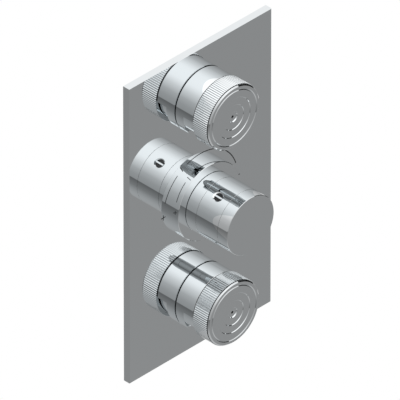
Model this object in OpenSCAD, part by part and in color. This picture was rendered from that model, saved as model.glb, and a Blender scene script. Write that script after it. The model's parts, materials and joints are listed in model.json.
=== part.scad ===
// Concealed thermostatic shower valve with two volume controls, in millimetres.
// X runs across the cover plate, Y into the wall and Z up. Y is zero at the finished wall.
// A value named _t is a distance out from the plate's front face, and one named _y a depth into the wall.
// Clock angles turn about Y from the top, and are negative on the left as the valve is seen from the front.

/* [Cover plate] */
// Width of the cover plate
plate_w = 145; // [136:1:180]
// Height of the cover plate
plate_h = 260; // [250:1:320]
// Thickness of the cover plate
plate_t = 6; // [5:0.5:8]
// Width of the rim that rests on the wall
plate_rim = 4; // [3:0.5:6]
// Thickness of the plate's front sheet
plate_sheet = 2.5; // [2:0.5:3.5]
// Distance from the plate's top or bottom edge to the volume control's axis
control_inset = 43.5; // [38:0.5:46]

/* [Scale on the plate] */
// Radius of the engraved temperature arc
scale_r = 38; // [36:0.5:42]
// Width of an engraved line
line_w = 0.8; // [0.3:0.1:1.2]
// Depth of an engraved line
line_depth = 0.4; // [0.2:0.1:1]
// Length of the index mark
index_len = 5.9; // [3:0.1:8]
// Length of the plus sign's arms, end to end
sign_len = 4.6; // [3:0.1:6]

/* [Thermostat handle] */
// Radius of the handle
handle_r = 24; // [23:0.5:27]
// Distance of the handle's front face from the plate
handle_reach = 51; // [48:0.5:60]
// Visible length of the handle's two end bands
band_w = 10; // [8:0.5:11]
// Radius of the fixed dial ring
dial_r = 31.6; // [30:0.1:34]
// Height of the fixed dial ring
dial_h = 8.7; // [8:0.1:10]
// Radius of the stop button
button_r = 3.4; // [2.8:0.1:3.6]
// Travel of the stop button
button_travel = 1.5; // [1:0.1:1.6]
// Clock angle of the stop button at rest
button_angle = -30; // [-40:1:-20]
// Clock angle of the hottest setting
hot_angle = -90; // [-100:1:-80]
// Clock angle of the coldest setting
cold_angle = 90; // [80:1:100]

/* [Volume knobs] */
// Radius of the knob's plain barrel
knob_r = 26.1; // [25:0.1:28]
// Distance from the plate to the joint of barrel and grip ring
barrel_len = 18; // [17.5:0.5:22]
// Radius over the reeds of the grip ring
grip_r = 26.7; // [26.5:0.1:28]
// Distance of the grip ring's front rim from the plate
knob_reach = 34.4; // [34:0.1:42]
// Number of reeds
reed_count = 100; // [60:2:110]
// Height of a reed
reed_h = 0.5; // [0.4:0.1:1]
// Turn of a volume knob from closed to open
knob_turn = 90; // [80:1:100]

/* [Waterways] */
// Core radius of the inlets' pipe thread
inlet_thread_r = 12.06; // [11:0.01:12.5]
// Core radius of the outlets' pipe thread
outlet_thread_r = 9.32; // [8:0.01:10]
// Distance between the mouths of the two inlets
inlet_span = 124; // [120:1:126]
// Distance from a volume control's axis to the mouth of its outlet
outlet_reach = 34; // [32:0.5:38]
// Radius of the gallery that carries mixed water
gallery_r = 7; // [6:0.5:7]
// Wall between the mixing chamber and the back face of the body
back_wall = 6; // [5:0.5:20]

/* [Mounting bracket] */
// Width of the bracket
bracket_w = 120; // [110:1:130]
// Height of the bracket
bracket_h = 64; // [60:1:80]
// Thickness of the bracket
bracket_t = 3; // [2.5:0.5:4]
// Distance across between the fixing holes
fixing_dx = 100; // [92:1:104]
// Distance up between the fixing holes
fixing_dz = 44; // [36:1:46]
// Radius of a fixing hole
fixing_r = 3.25; // [2.5:0.05:4]

/* [Hidden] */
$fn = 96;

// Distance from the thermostat's axis to each volume control's axis
control_pitch = plate_h / 2 - control_inset;

// Sides of the two volume controls and of the two inlets
upper = 1;
lower = -1;
cold_side = 1;
hot_side = -1;
quarter = 90;

// Finishes
chrome = [0.80, 0.82, 0.84];
bright_steel = [0.66, 0.67, 0.69];
brass = [0.78, 0.62, 0.34];
rubber = [0.12, 0.12, 0.13];
foam = [0.28, 0.28, 0.29];
white_plastic = [0.9, 0.9, 0.88];
grey_plastic = [0.55, 0.57, 0.6];
ceramic = [0.93, 0.92, 0.86];
copper = [0.72, 0.43, 0.27];

// Clearances: a fit within one assembly, a running fit, an end gap and the overrun of a cut
fit = 0.05;
run = 0.07;
end_gap = 0.3;
over = 1;
edge = 0.3;

// Rubber rings: radius of the section, and the play that keeps a ring clear of its groove
seal_w = 1.2;
small_seal_w = 0.85;

// Depths along the thermostat's axis, from the body's front face to the bottom of the mixing chamber
body_front_y = 4;
nut_thread = 10;
flange_w = 3;
head_plug = 5;
seat_span = 18;
seat_grip = 6;
window_w = 5;
gallery_lap = 0.5;
gallery_w = 6.5;
flange_y = body_front_y + nut_thread;
shoulder_y = flange_y + flange_w;
cold_seat_y = shoulder_y + head_plug;
hot_seat_y = cold_seat_y + seat_span;
shell_end_y = hot_seat_y + seat_grip;
chamber_end_y = shell_end_y + 2 * gallery_r;
gallery_y = shell_end_y + gallery_r;
body_back_y = chamber_end_y + back_wall;
cold_port_y = cold_seat_y - gallery_lap + gallery_w / 2;
hot_port_y = hot_seat_y + gallery_lap - gallery_w / 2;
inlet_y = (cold_port_y + hot_port_y) / 2;

// Radii of the thermostat's bore and of the cartridge that fills it
bore_r = 19;
ring_gallery_r = 23.5;
boss_r = 29;
nut_r = 24;
nose_r = 22;
nose_bore_r = 17;
shell_r = bore_r - fit;
shell_bore_r = 15.5;
spool_r = shell_bore_r - run;
spool_bore_r = 12.5;
chamber_r = 16;
port_r = 3.2;
port_step = 4;
window_count = 8;
window_angle = 30;

// Cartridge head: its nose carries the stop carrier, its chamber the control nut
head_nose_r = 13;
head_nose_y = -10;
head_wall = 5.5;
chamber_front_y = head_nose_y + head_wall;
nut_slide_r = 10;
key_r = 11.4;
key_w = 3;
key_y = 5;
key_len = 8;

// Thermostat spindle and control nut
spindle_neck_r = 6;
spindle_collar_r = 9;
spindle_collar_w = 2;
spindle_thread_r = 4.5;
spindle_thread_y = 6.5;
spline_r = 4.5;
spline_depth = 0.5;
spline_teeth = 20;
spline_len = 8;
neck_front_y = head_nose_y - 2;
control_nut_y = -0.9;
control_nut_len = 16.4;
spring_pocket_r = 7.5;
spring_pocket_y = 7;
clip_y = 14;
clip_w = 0.8;
clip_r = 8;
clip_bore_r = 5;
plunger_len = 2.5;

// Wax element and spool
piston_r = 1.5;
guide_r = 3.5;
bulb_r = 5.5;
bulb_flange_r = 8;
bulb_flange_w = 2;
guide_len = 4;
bulb_len = 21;
cold_gap = 0.6;
hot_gap = 1.1;
spool_web_y = 26;
spool_web_w = 3;
spool_hole_r = 1.8;
spool_hole_count = 8;
spool_seal_y = 31;
lip_bore_r = 8.5;
lip_w = 1.5;
return_coil_r = 10.4;
return_wire_r = 0.7;
return_turns = 4;
overload_coil_r = 5.9;
overload_wire_r = 0.55;
overload_turns = 3;

// Thermostat handle, from its rear end band to its front cap
sleeve_wall = 2.5;
spigot_wall = 3;
seam_w = 0.14;
spigot_r = handle_r - sleeve_wall;
spigot_bore_r = spigot_r - spigot_wall;
base_t = dial_h + end_gap;
sleeve_t = base_t + band_w;
cap_t = handle_reach - band_w;
spigot_grip = 4;
spigot_end_t = cap_t + spigot_grip;
cap_pocket_r = 16.5;
cap_pocket_w = 2;
button_t = (sleeve_t + cap_t) / 2;
hub_lip_r = 16;
hub_lip_w = 1.5;
extension_r = 8;
carrier_r = 16.3;
carrier_bore_r = 8.5;
carrier_spigot_r = 12;
carrier_lap = 12;
extension_spline_r = 5;
screw_r = 2;
screw_head_r = 4;
screw_head_w = 2.9;
screw_reach = 9;
socket_r = 1.6;
socket_depth = 1.6;

// Stop button, its catch collar and the stop ring
button_rim_r = 4.6;
button_rim_depth = 0.7;
button_plate_w = 0.6;
button_rib_h = 1;
button_rib_w = 1.2;
button_sink = 0.4;
stem_r = 1.2;
pocket_floor = 1;
collar_r = 2.2;
collar_w = 1.1;
catch_wall = 0.8;
catch_clear = 0.3;
stop_margin = 0.6;
stop_flange_w = 1.5;
stop_side_gap = 0.4;
catch_w = 1.1;
catch_angle = 6;
button_wire_r = 0.2;
button_coil_r = 1.95;
button_turns = 3;
catch_r = spigot_bore_r - end_gap;
catch_bore_r = catch_r - catch_wall;
collar_top_r = catch_bore_r - catch_clear;
collar_bottom_r = collar_top_r - collar_w;
stop_floor_r = collar_bottom_r - button_travel - end_gap;
collar_half_angle = asin(collar_r / collar_bottom_r);
button_top_r = handle_r - button_sink;
button_plate_r = button_top_r - button_rib_h;
button_base_r = button_plate_r - button_plate_w;
pocket_r = spigot_bore_r + pocket_floor;
stop_half_w = collar_r + stop_side_gap;
stop_t = button_t - stop_half_w - stop_flange_w;
stop_end_t = button_t + stop_half_w;
carrier_end_t = stop_end_t + end_gap;
hub_lip_t = carrier_end_t + end_gap;
hub_t = hub_lip_t + hub_lip_w;
hub_end_t = cap_t + over;
extension_shoulder_t = hub_t - end_gap;
extension_end_t = hub_end_t - over;

// Headworks of the volume controls
headwork_r = 12.5;
headwork_len = 36;
headwork_hex_r = 15.6;
headwork_hex_w = 5;
headwork_nose_r = 8.5;
headwork_nose_t = 8;
headwork_bore_r = 10.5;
headwork_wall_y = 14;
outlet_port_y = 17;
outlet_port_w = 7;
outlet_port_angle = 60;
outlet_port_count = 4;
outlet_ring_r = 16.5;
outlet_ring_lap = 2;
volume_boss_r = 21;
volume_boss_relief = 1;
disc_r = 10.3;
disc_w = 3;
disc_y = 26;
disc_film = 0.02;
disc_port_r = 8.6;
disc_core_r = 3;
disc_port_angle = 80;
disc_port_margin = 5;
seat_bore_r = 7;
shank_r = 5;
drive_collar_r = 9.8;
drive_collar_w = 2.2;
leg_r = 9;
leg_root_r = 5;
leg_w = 3.6;
leg_bite = 1.4;
stop_lug_angle = 30;
stop_lug_r = 8.2;
stop_lug_root_r = 5.8;
stop_lug_len = 2.2;
stop_collar_w = 2.1;
seat_y = body_front_y + headwork_len;
volume_boss_y = body_back_y - volume_boss_relief;
outlet_y = outlet_port_y + outlet_port_w / 2;
outlet_ring_y = outlet_port_y - outlet_ring_lap;
outlet_ring_end_y = outlet_port_y + outlet_port_w + outlet_ring_lap + over;

// Volume knob: barrel relieved at its underside, hub, reeded grip ring and stepped cap
knob_gap_t = 0.5;
knob_wall = 3.6;
knob_web_t = 16;
knob_pocket_t = 22;
cap_bed_depth = 3.6;
grip_wall = 2.2;
knob_spigot_r = grip_r - grip_wall;
hub_r = 11;
hub_screw_wall = 2.8;
adapter_r = 8;
adapter_len = 6.5;
knob_screw_reach = 9;
rim_wall = 1.2;
joint_w = 0.9;
reed_top_share = 0.34;
reed_side_share = 0.62;
reed_side_height_share = 0.62;
flange_gap = 0.5;
flange_inset = 0.5;
cap_flange_w = 1.1;
cap_bevel = 0.9;
groove_r_share = 0.8645;
groove_w = 1.3;
groove_depth = 0.55;
ring_slope = 0.2;
ring_r_shares = [0.626, 0.389, 0.156];
ring_floors = [0, 0.35, 0.7, 1.5];
dimple_r = 0.7;
dimple_depth = 1.2;
relief_t = 8.7;
relief_depth = 2.7;
relief_lap = 1.2;
relief_half_angle = 92;
knob_spline_t = headwork_nose_t + end_gap;
stop_collar_end_t = knob_spline_t + stop_collar_w;
adapter_t = stop_collar_end_t + end_gap;
adapter_end_t = adapter_t + adapter_len;
knob_screw_t = adapter_end_t + hub_screw_wall;
knob_cap_r = grip_r - flange_inset;
cap_flange_t = knob_reach - cap_flange_w;
grip_end_t = cap_flange_t - flange_gap;
cap_seat_t = knob_reach - cap_bed_depth;
relief_end_t = barrel_len + joint_w + relief_lap;

// Escutcheon sleeves
sleeve_bore_r = 15.8;
sleeve_r = 18.4;
sleeve_front_t = 6;
plate_play = 0.3;
plate_boss_wall = 3;
boss_relief = 1;
gasket_w = 8;
gasket_relief = 0.1;

// Valve body, its pipe bosses and the check valves
inlet_boss_r = 17;
inlet_hex_r = 19.6;
outlet_boss_r = 14;
outlet_hex_r = 16;
hex_w = 9;
mouth_chamfer = 0.8;
inlet_thread_len = 16;
outlet_thread_len = 13;
outlet_passage_r = 5.8;
web_w = 12;
web_front_y = 22;
gallery_wall = 4;
gallery_top = 10;
gallery_bottom = 22;
plug_len = 9;
plug_hex_r = 9.8;
plug_hex_w = 4;
valve_pocket_r = 10.5;
valve_pocket_x = 27;
cage_len = 15;
cage_seat_w = 2.5;
cage_seat_bore_r = 6.5;
cage_bore_r = 8.8;
cage_hub_r = 3;
cage_hub_w = 2;
cage_hub_x = 4.3;
cage_arm_w = 1.6;
cage_arm_count = 3;
poppet_r = 7.7;
poppet_w = 1.4;
poppet_stem_r = 1.5;
poppet_tail = 0.5;
check_wire_r = 0.28;
check_coil_r = 2.5;
check_turns = 3.5;
filter_rim_w = 3.4;
filter_rim_wall = 1.4;
filter_sheet = 0.8;
filter_hole_r = 0.95;
filter_pitch = 2.6;
filter_rings = 3;
tap_ring_r = 22;
tap_r = 2.1;
tap_depth = 12;
bracket_screw_r = 2.05;
bracket_head_r = 4.2;
bracket_head_w = 2.2;
bracket_corner_r = 8;
cage_x = valve_pocket_x + end_gap;
cage_end_x = cage_x + cage_len;
mouth_x = inlet_span / 2;
thread_floor_x = mouth_x - inlet_thread_len;
bracket_y = body_back_y;
bracket_back_y = body_back_y + bracket_t;

// Springs are drawn as a six-sided wire with twelve steps a turn
coil_steps = 12;
wire_sides = 6;

// Depth of a point that stands a distance t out from the plate's front face
function front_y(t) = -plate_t - t;

// Plain turned shapes about the Y axis
module turned(outline) rotate([-quarter, 0, 0]) rotate_extrude() polygon(outline);

module rod(r, y0, y1) translate([0, y0, 0]) rotate([-quarter, 0, 0]) cylinder(r = r, h = y1 - y0);

module ring(r0, r1, y0, y1) {
    rotate([-quarter, 0, 0]) rotate_extrude() translate([r0, y0]) square([r1 - r0, y1 - y0]);
}

module sector(r0, r1, y0, y1, a0, a1) {
    rotate([-quarter, 0, 0]) rotate([0, 0, a0 - quarter]) rotate_extrude(angle = a1 - a0)
        translate([r0, y0]) square([r1 - r0, y1 - y0]);
}

module hex_rod(r, y0, y1) {
    translate([0, y0, 0]) rotate([-quarter, 0, 0]) cylinder(r = r, h = y1 - y0, $fn = 6);
}

module seal(r, w, y) rotate([-quarter, 0, 0]) rotate_extrude() translate([r, y]) circle(r = w, $fn = 32);

// Shapes that stand along Z, for the pipe bosses and the radial button
module post(r, z0, z1) translate([0, 0, z0]) cylinder(r = r, h = z1 - z0);

module tube(r0, r1, z0, z1) {
    rotate_extrude() translate([r0, z0]) square([r1 - r0, z1 - z0]);
}

// Toothed outline of a splined shaft, and the shaft itself along Y
function spline_points(r) = [
    for (i = [0 : 2 * spline_teeth - 1])
        let (a = i * 180 / spline_teeth, rr = i % 2 == 0 ? r : r - spline_depth)
            [rr * cos(a), rr * sin(a)]
];

module splined(r, y0, y1) {
    translate([0, y0, 0]) rotate([-quarter, 0, 0])
        linear_extrude(height = y1 - y0) polygon(spline_points(r));
}

// One unbroken coil of wire along Z
function coil_ring(r, wire, z, a) = [
    for (k = [0 : wire_sides - 1])
        let (b = k * 360 / wire_sides, rr = r + wire * cos(b))
            [rr * cos(a), rr * sin(a), z + wire * sin(b)]
];

module coil(r, wire, z0, z1, turns) {
    steps = round(turns * coil_steps);
    low = z0 + wire;
    rise = (z1 - z0 - 2 * wire) / steps;
    points = [for (i = [0 : steps]) each coil_ring(r, wire, low + i * rise, i * 360 / coil_steps)];
    sides = [
        for (i = [0 : steps - 1], k = [0 : wire_sides - 1])
            let (a = i * wire_sides + k, b = i * wire_sides + (k + 1) % wire_sides)
                each [[a, b, b + wire_sides], [a, b + wire_sides, a + wire_sides]]
    ];
    last = steps * wire_sides;
    ends = [
        for (k = [1 : wire_sides - 2])
            each [[0, k + 1, k], [last, last + k, last + k + 1]]
    ];
    polyhedron(points, concat(sides, ends), convexity = 10);
}

module coil_y(r, wire, y0, y1, turns) rotate([-quarter, 0, 0]) coil(r, wire, y0, y1, turns);

// Places: a volume control, an inlet that points outwards along Z, an outlet, and the stop button
module at_control(side) translate([0, 0, side * control_pitch]) children();

module at_inlet(side) translate([0, inlet_y, 0]) rotate([0, side * quarter, 0]) children();

module at_outlet(side) {
    translate([0, outlet_y, side * control_pitch]) rotate([(1 - side) * quarter, 0, 0]) children();
}

module at_button() translate([0, front_y(button_t), 0]) rotate([0, button_angle, 0]) children();

// Cover plate with its wall rim, bores, and engraved temperature scale
module scale_marks() {
    y0 = -plate_t - over;
    y1 = -plate_t + line_depth;
    sign_gap = 18;
    index_gap = 8;
    r0 = scale_r - line_w / 2;
    sector(r0, r0 + line_w, y0, y1, hot_angle + sign_gap, button_angle - index_gap);
    sector(r0, r0 + line_w, y0, y1, button_angle + index_gap, cold_angle - sign_gap);
    rotate([0, button_angle, 0])
        translate([-line_w / 2, y0, scale_r + line_w - index_len / 2]) cube([line_w, y1 - y0, index_len]);
    rotate([0, hot_angle, 0]) translate([0, y0, scale_r]) {
        translate([-sign_len / 2, 0, -line_w / 2]) cube([sign_len, y1 - y0, line_w]);
        translate([-line_w / 2, 0, -sign_len / 2]) cube([line_w, y1 - y0, sign_len]);
    }
    rotate([0, cold_angle, 0])
        translate([-line_w / 2, y0, scale_r - sign_len / 2]) cube([line_w, y1 - y0, sign_len]);
}

module cover_plate() {
    inner_w = plate_w - 2 * plate_rim;
    inner_h = plate_h - 2 * plate_rim;
    face_w = plate_w - 2 * edge;
    face_h = plate_h - 2 * edge;
    color(chrome) difference() {
        union() {
            difference() {
                hull() {
                    translate([-face_w / 2, -plate_t, -face_h / 2]) cube([face_w, plate_t, face_h]);
                    translate([-plate_w / 2, edge - plate_t, -plate_h / 2])
                        cube([plate_w, plate_t - edge, plate_h]);
                }
                translate([-inner_w / 2, plate_sheet - plate_t, -inner_h / 2])
                    cube([inner_w, plate_t, inner_h]);
            }
            rod(nose_r + plate_boss_wall, plate_sheet - plate_t - gallery_lap, -boss_relief);
            for (side = [lower, upper]) at_control(side)
                rod(sleeve_r + plate_boss_wall, plate_sheet - plate_t - gallery_lap, -boss_relief);
        }
        rod(nose_r + plate_play, -plate_t - over, over);
        for (side = [lower, upper]) at_control(side) rod(sleeve_r + plate_play, -plate_t - over, over);
        scale_marks();
    }
}

module plate_gasket() {
    outer_w = plate_w - 2 * plate_rim - 2 * fit;
    outer_h = plate_h - 2 * plate_rim - 2 * fit;
    inner_w = outer_w - 2 * gasket_w;
    inner_h = outer_h - 2 * gasket_w;
    y0 = plate_sheet - plate_t;
    color(foam) difference() {
        translate([-outer_w / 2, y0, -outer_h / 2]) cube([outer_w, -gasket_relief - y0, outer_h]);
        translate([-inner_w / 2, y0 - over, -inner_h / 2]) cube([inner_w, plate_t + over, inner_h]);
    }
}

// Fixed dial ring, screwed onto the thermostat nut's nose to hold the plate
module dial_ring() {
    bore = nose_r + fit;
    color(chrome) turned([
        [bore, front_y(0)], [dial_r, front_y(0)], [dial_r, front_y(dial_h - edge)],
        [dial_r - edge, front_y(dial_h)], [bore, front_y(dial_h)]
    ]);
}

// Brass body: three front bosses, a mixed-water gallery, side inlets, and outlets up and down
module body_solid() {
    rod(boss_r, body_front_y, body_back_y);
    for (side = [lower, upper]) {
        at_control(side) rod(volume_boss_r, body_front_y, volume_boss_y);
        at_inlet(side) post(inlet_boss_r, 0, mouth_x);
        at_inlet(side) rotate([0, 0, quarter]) translate([0, 0, mouth_x - hex_w])
            cylinder(r = inlet_hex_r, h = hex_w, $fn = 6);
        at_outlet(side) post(outlet_boss_r, 0, outlet_reach);
        at_outlet(side) translate([0, 0, outlet_reach - hex_w])
            cylinder(r = outlet_hex_r, h = hex_w, $fn = 6);
    }
    translate([0, gallery_y, 0])
        post(gallery_r + gallery_wall, -control_pitch - gallery_bottom, control_pitch);
    translate([-web_w / 2, web_front_y, -control_pitch])
        cube([web_w, gallery_y - web_front_y, 2 * control_pitch]);
}

module thermostat_bores() {
    rod(nut_r + fit, body_front_y - over, shoulder_y);
    rod(bore_r, body_front_y, shell_end_y);
    ring(bore_r - over, ring_gallery_r, cold_seat_y - gallery_lap, cold_port_y + gallery_w / 2);
    ring(bore_r - over, ring_gallery_r, hot_port_y - gallery_w / 2, hot_seat_y + gallery_lap);
    rod(chamber_r, shell_end_y - over, chamber_end_y);
    for (i = [0 : 3]) rotate([0, (i + 1 / 2) * quarter, 0])
        translate([0, 0, tap_ring_r]) rod(tap_r, body_back_y - tap_depth, body_back_y + over);
}

module inlet_bores(side, port_y) {
    at_inlet(side) {
        post(inlet_thread_r, thread_floor_x, mouth_x + over);
        post(valve_pocket_r, valve_pocket_x, mouth_x);
        translate([0, 0, mouth_x - mouth_chamfer])
            cylinder(r1 = inlet_thread_r, r2 = inlet_thread_r + mouth_chamfer, h = mouth_chamfer + fit);
        for (i = [-1 : 1]) translate([i * port_step, port_y - inlet_y, 0])
            post(port_r, bore_r, valve_pocket_x + over);
    }
}

module outlet_bores(side) {
    at_control(side) {
        rod(headwork_r, body_front_y - over, seat_y);
        ring(headwork_r - over, outlet_ring_r, outlet_ring_y, outlet_ring_end_y);
        rod(seat_bore_r, seat_y - over, gallery_y);
    }
    at_outlet(side) {
        post(outlet_passage_r, headwork_r + over, outlet_reach);
        post(outlet_thread_r, outlet_reach - outlet_thread_len, outlet_reach + over);
        translate([0, 0, outlet_reach - mouth_chamfer])
            cylinder(r1 = outlet_thread_r, r2 = outlet_thread_r + mouth_chamfer, h = mouth_chamfer + fit);
    }
}

module valve_body() {
    color(brass) difference() {
        body_solid();
        thermostat_bores();
        inlet_bores(cold_side, cold_port_y);
        inlet_bores(hot_side, hot_port_y);
        for (side = [lower, upper]) outlet_bores(side);
        translate([0, gallery_y, 0])
            post(gallery_r, -control_pitch - gallery_bottom - over, control_pitch + gallery_top);
    }
}

module gallery_plug() {
    foot = -control_pitch - gallery_bottom;
    color(brass) translate([0, gallery_y, 0]) {
        post(gallery_r - fit, foot, foot + plug_len);
        translate([0, 0, foot - plug_hex_w]) cylinder(r = plug_hex_r, h = plug_hex_w, $fn = 6);
    }
}

// Nut that holds the cartridge down, with the threaded nose that carries the dial ring
module thermostat_nut() {
    collar_y = 1;
    nose_front_y = front_y(dial_h - over);
    color(brass) difference() {
        union() {
            rod(nut_r, collar_y, flange_y);
            rod(nose_r, nose_front_y, collar_y + over);
            translate([0, collar_y, 0]) rotate([-quarter, 0, 0])
                cylinder(r = boss_r - over, h = body_front_y - collar_y, $fn = 8);
        }
        rod(nose_bore_r, nose_front_y - over, flange_y + over);
    }
}

// Thermostatic cartridge
module seal_groove(r, w, y) ring(r - 2 * w - 2 * fit, r + over, y - w - fit, y + w + fit);

module cartridge_head() {
    seal_y = shoulder_y + head_plug / 2 - gallery_lap;
    color(brass) difference() {
        union() {
            rod(head_nose_r, head_nose_y, flange_y + fit);
            rod(nut_r - fit, flange_y, shoulder_y);
            rod(shell_r, shoulder_y - fit, cold_seat_y);
        }
        rod(spindle_neck_r + run, head_nose_y - over, chamber_front_y + over);
        rod(nut_slide_r + run, chamber_front_y, cold_seat_y + over);
        for (side = [lower, upper])
            translate([-key_w / 2 - run, key_y - over, side > 0 ? 0 : -key_r - 2 * run])
                cube([key_w + 2 * run, cold_seat_y - key_y + 2 * over, key_r + 2 * run]);
        seal_groove(shell_r, seal_w, seal_y);
    }
}

module ring_of_windows(y0, y1) {
    for (i = [0 : window_count - 1])
        rotate([0, i * 360 / window_count, 0])
            sector(shell_bore_r - over, shell_r + over, y0, y1, -window_angle / 2, window_angle / 2);
}

module cartridge_shell() {
    color(bright_steel) difference() {
        ring(shell_bore_r, shell_r, cold_seat_y, shell_end_y);
        ring_of_windows(cold_seat_y - over, cold_seat_y + window_w);
        ring_of_windows(hot_seat_y - window_w, hot_seat_y);
        seal_groove(shell_r, seal_w, (cold_port_y + hot_port_y) / 2);
        seal_groove(shell_r, seal_w, shell_end_y - seat_grip / 2);
    }
}

module hot_seat() {
    color(brass) turned([
        [spool_bore_r - gallery_lap, hot_seat_y], [shell_bore_r - fit, hot_seat_y],
        [shell_bore_r - fit, shell_end_y], [lip_bore_r, shell_end_y],
        [lip_bore_r, shell_end_y - lip_w], [spool_bore_r - gallery_lap, shell_end_y - lip_w]
    ]);
}

module cartridge_seals() {
    r = shell_r - seal_w;
    color(rubber) {
        seal(r, seal_w, shoulder_y + head_plug / 2 - gallery_lap);
        seal(r, seal_w, (cold_port_y + hot_port_y) / 2);
        seal(r, seal_w, shell_end_y - seat_grip / 2);
    }
}

module control_nut() {
    color(brass) difference() {
        union() {
            rod(nut_slide_r, control_nut_y, control_nut_y + control_nut_len);
            translate([-key_w / 2, key_y, -key_r]) cube([key_w, key_len, 2 * key_r]);
        }
        rod(spindle_thread_r + fit, control_nut_y - over, control_nut_y + control_nut_len);
        rod(spring_pocket_r, spring_pocket_y, control_nut_y + control_nut_len + over);
        ring(spring_pocket_r - over, clip_r + fit, clip_y - fit, clip_y + clip_w + fit);
    }
}

module overload_spring() {
    color(bright_steel) coil_y(overload_coil_r, overload_wire_r, spring_pocket_y + fit,
        clip_y - plunger_len - fit, overload_turns);
}

module plunger() color(brass) rod(spring_pocket_r - 2 * fit, clip_y - plunger_len, clip_y);

module plunger_clip() color(bright_steel) ring(clip_bore_r, clip_r, clip_y, clip_y + clip_w);

module wax_element() {
    flange_end = spool_web_y;
    guide_y = flange_end - bulb_flange_w - guide_len;
    nib_r = 1;
    color(copper) union() {
        rod(piston_r, clip_y, guide_y + over);
        rod(guide_r, guide_y, flange_end);
        rod(bulb_flange_r, flange_end - bulb_flange_w, flange_end);
        rod(bulb_r, flange_end - over, flange_end + bulb_len);
        translate([0, flange_end + bulb_len, 0]) rotate([-quarter, 0, 0])
            cylinder(r1 = bulb_r, r2 = bulb_r - nib_r, h = nib_r);
    }
}

module spool() {
    y0 = cold_seat_y + cold_gap;
    y1 = hot_seat_y - hot_gap;
    hole_ring_r = (bulb_flange_r + spool_bore_r) / 2;
    color(brass) difference() {
        union() {
            ring(spool_bore_r, spool_r, y0, y1);
            ring(bulb_r + fit, spool_bore_r + fit, spool_web_y, spool_web_y + spool_web_w);
        }
        seal_groove(spool_r, small_seal_w, spool_seal_y);
        for (i = [0 : spool_hole_count - 1]) rotate([0, i * 360 / spool_hole_count, 0])
            translate([0, 0, hole_ring_r])
                rod(spool_hole_r, spool_web_y - over, spool_web_y + spool_web_w + over);
    }
}

module spool_seal() color(rubber) seal(spool_r - small_seal_w, small_seal_w, spool_seal_y);

module return_spring() {
    color(bright_steel) coil_y(return_coil_r, return_wire_r, spool_web_y + spool_web_w + 2 * fit,
        shell_end_y - lip_w - fit, return_turns);
}

module thermostat_spindle() {
    neck_seal_y = head_nose_y + head_wall / 2;
    color(brass) difference() {
        union() {
            splined(spline_r, neck_front_y - spline_len, neck_front_y + over);
            rod(spindle_neck_r, neck_front_y, chamber_front_y + end_gap);
            rod(spindle_collar_r, chamber_front_y + end_gap, chamber_front_y + end_gap + spindle_collar_w);
            rod(spindle_thread_r, chamber_front_y, spindle_thread_y);
        }
        seal_groove(spindle_neck_r, small_seal_w, neck_seal_y);
    }
}

module spindle_seal() {
    color(rubber) seal(spindle_neck_r - small_seal_w, small_seal_w, head_nose_y + head_wall / 2);
}

// Carrier and ring of the handle's end stops and comfort stop
module stop_carrier() {
    color(white_plastic) difference() {
        union() {
            rod(carrier_r, front_y(stop_t), head_nose_y + carrier_lap);
            rod(carrier_spigot_r, front_y(carrier_end_t), front_y(stop_t) + over);
        }
        rod(head_nose_r + fit, head_nose_y, head_nose_y + carrier_lap + over);
        rod(carrier_bore_r, front_y(carrier_end_t) - over, head_nose_y + over);
    }
}

module stop_ring() {
    bore = carrier_spigot_r + fit;
    wall_start = cold_angle + collar_half_angle + stop_margin;
    wall_end = 360 + hot_angle - collar_half_angle - stop_margin;
    catch_end = button_angle - collar_half_angle - stop_margin;
    flange_t = stop_t + stop_flange_w;
    color(grey_plastic) union() {
        turned([
            [bore, front_y(stop_t)], [catch_r, front_y(stop_t)], [catch_r, front_y(flange_t)],
            [stop_floor_r, front_y(flange_t)], [stop_floor_r, front_y(stop_end_t)],
            [bore, front_y(stop_end_t)]
        ]);
        sector((bore + stop_floor_r) / 2, collar_top_r, front_y(stop_end_t),
            front_y((stop_t + flange_t) / 2), wall_start, wall_end);
        sector(catch_bore_r, catch_r - fit, front_y(flange_t + catch_w),
            front_y((stop_t + flange_t) / 2), catch_end - catch_angle, catch_end);
    }
}

// Thermostat handle
module button_pocket() {
    at_button() {
        post(stem_r + run, 0, handle_r);
        post(button_r + run, pocket_r, handle_r + over);
        translate([0, 0, handle_r - button_rim_depth])
            cylinder(r1 = button_r + run, r2 = button_rim_r, h = button_rim_depth + fit);
    }
}

// Pad inside the spigot that the button's collar rests against, clear of the catch
module button_seat() {
    intersection() {
        at_button() post(collar_r, collar_top_r + 2 * fit, spigot_bore_r + fit);
        rod(handle_r, front_y(stop_end_t), front_y(stop_t + stop_flange_w + catch_w + end_gap));
    }
}

module handle_base() {
    rear = front_y(base_t);
    joint = front_y(sleeve_t);
    color(chrome) difference() {
        union() {
            turned([
                [spigot_bore_r, rear], [handle_r - seam_w, rear], [handle_r, rear - seam_w],
                [handle_r, joint + seam_w], [handle_r - seam_w, joint], [spigot_r, joint],
                [spigot_r, front_y(spigot_end_t)], [spigot_bore_r, front_y(spigot_end_t)],
                [spigot_bore_r, front_y(hub_t)], [hub_lip_r, front_y(hub_t)],
                [hub_lip_r, front_y(hub_lip_t)], [spigot_bore_r, front_y(hub_lip_t)]
            ]);
            button_seat();
        }
        button_pocket();
    }
}

module handle_sleeve() {
    y0 = front_y(cap_t);
    y1 = front_y(sleeve_t);
    bore = spigot_r + fit;
    color(chrome) difference() {
        turned([
            [bore, y0], [handle_r - seam_w, y0], [handle_r, y0 + seam_w],
            [handle_r, y1 - seam_w], [handle_r - seam_w, y1], [bore, y1]
        ]);
        button_pocket();
    }
}

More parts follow.
